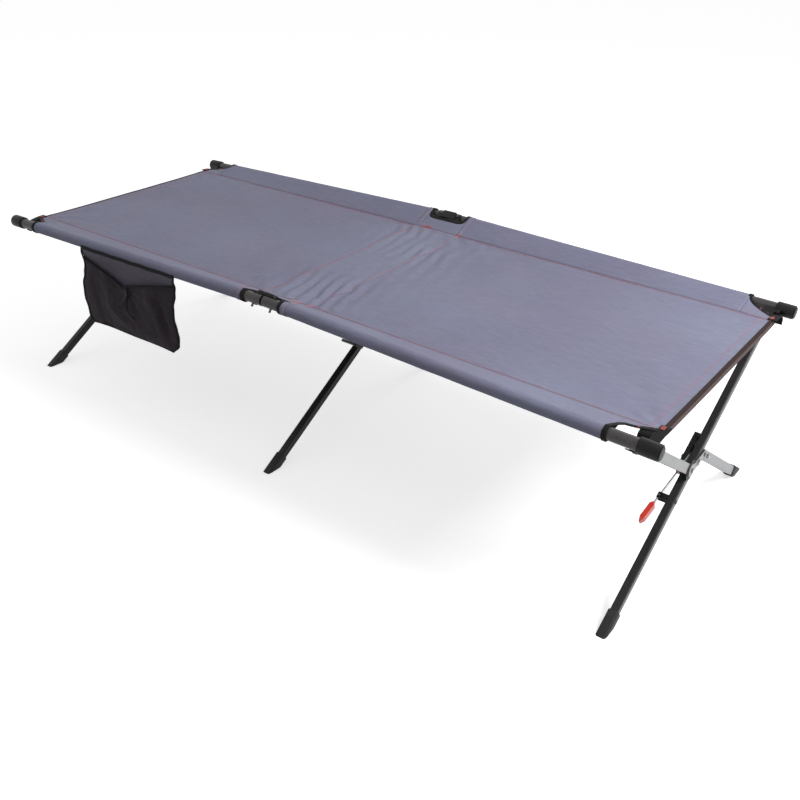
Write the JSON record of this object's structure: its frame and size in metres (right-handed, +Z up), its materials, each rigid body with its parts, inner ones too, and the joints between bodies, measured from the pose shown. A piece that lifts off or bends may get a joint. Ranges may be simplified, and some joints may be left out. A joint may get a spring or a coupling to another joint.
{
  "type": "folding cot",
  "caption": "Long folding camp cot: arched side rails on crossed legs, a stretched fabric deck, a locking end leg and a side pocket.",
  "frame": {"origin": "on the floor, under the middle of the bed", "axes": "+X along the bed towards the end with the release lever, +Y across the bed to the far side, +Z up"},
  "size_m": [2.166, 0.8746, 0.5528],
  "materials": {
    "deck_fabric": "coarse plain-woven polyester, matt",
    "mesh": "black knitted mesh with a woven band",
    "webbing": "flat woven webbing",
    "cord": "braided drawcord",
    "frame_dark": "satin black powder coat on steel tube",
    "bracket_black": "moulded, slightly glossy",
    "aluminium": "brushed, anodised",
    "steel": "zinc plated",
    "rubber_black": "matt moulded rubber",
    "red_plastic": "glossy moulded plastic"
  },
  "bodies": {
    "near_side": {"near_rail_head": "frame_dark", "near_rail_foot": "frame_dark", "near_hinge_bracket": "bracket_black", "near_hinge_pins": "steel", "near_bracket_head": "bracket_black", "near_bracket_foot": "bracket_black", "near_end_plugs": "bracket_black", "near_leg_rivets": "steel", "head_leg_b": "frame_dark", "middle_leg_b": "frame_dark", "upper_arm": "aluminium", "lower_arm": "aluminium", "link_plate_outer": "aluminium", "link_plate_inner": "aluminium", "pivot_disc": "bracket_black", "link_rivets": "steel", "snap_button": "steel", "head_boot_b": "rubber_black", "middle_boot_b": "rubber_black", "arm_boot": "rubber_black", "deck": "deck_fabric", "pocket_back": "mesh", "pocket_front": "mesh", "cord_lock": "bracket_black", "cord_tails": "cord"},
    "far_side": {"far_rail_head": "frame_dark", "far_rail_foot": "frame_dark", "far_hinge_bracket": "bracket_black", "far_hinge_pins": "steel", "far_bracket_head": "bracket_black", "far_bracket_foot": "bracket_black", "far_end_plugs": "bracket_black", "far_leg_rivets": "steel", "head_leg_a": "frame_dark", "middle_leg_a": "frame_dark", "lock_leg_a": "frame_dark", "head_boot_a": "rubber_black", "middle_boot_a": "rubber_black", "lock_boot_a": "rubber_black", "stop_bar": "aluminium", "stop_screw": "bracket_black", "head_pivot_bolt": "steel", "middle_pivot_bolt": "steel", "lock_pivot_bolt": "steel", "cross_washers": "bracket_black", "latch_housing": "bracket_black", "lever_clip": "bracket_black", "lever_pin": "steel", "clip_rivet": "bracket_black"},
    "release": {"release_lever": "steel", "release_grip": "red_plastic", "latch_tongue": "red_plastic"},
    "cord_button": {"cord_lock_button": "bracket_black"}
  },
  "joints": [
    {"name": "scissor_fold", "type": "hinge", "parent": "near_side", "child": "far_side", "pos_m": [0, 0, 0.24785], "axis": [1, 0, 0], "range_deg": [0, 104], "deforming": ["deck"]},
    {"name": "release_lever", "type": "hinge", "parent": "far_side", "child": "release", "pos_m": [0.9905, -0.10031, 0.1857], "axis": [0, -0.5267, 0.85], "range_deg": [0, 7], "stiffness_Nm_per_rad": 0.5},
    {"name": "cord_lock_press", "type": "slide", "parent": "near_side", "child": "cord_button", "axis": [0.0241, 0, -0.9997], "range_m": [0, 0.0025], "stiffness_N_per_m": 300}
  ]
}
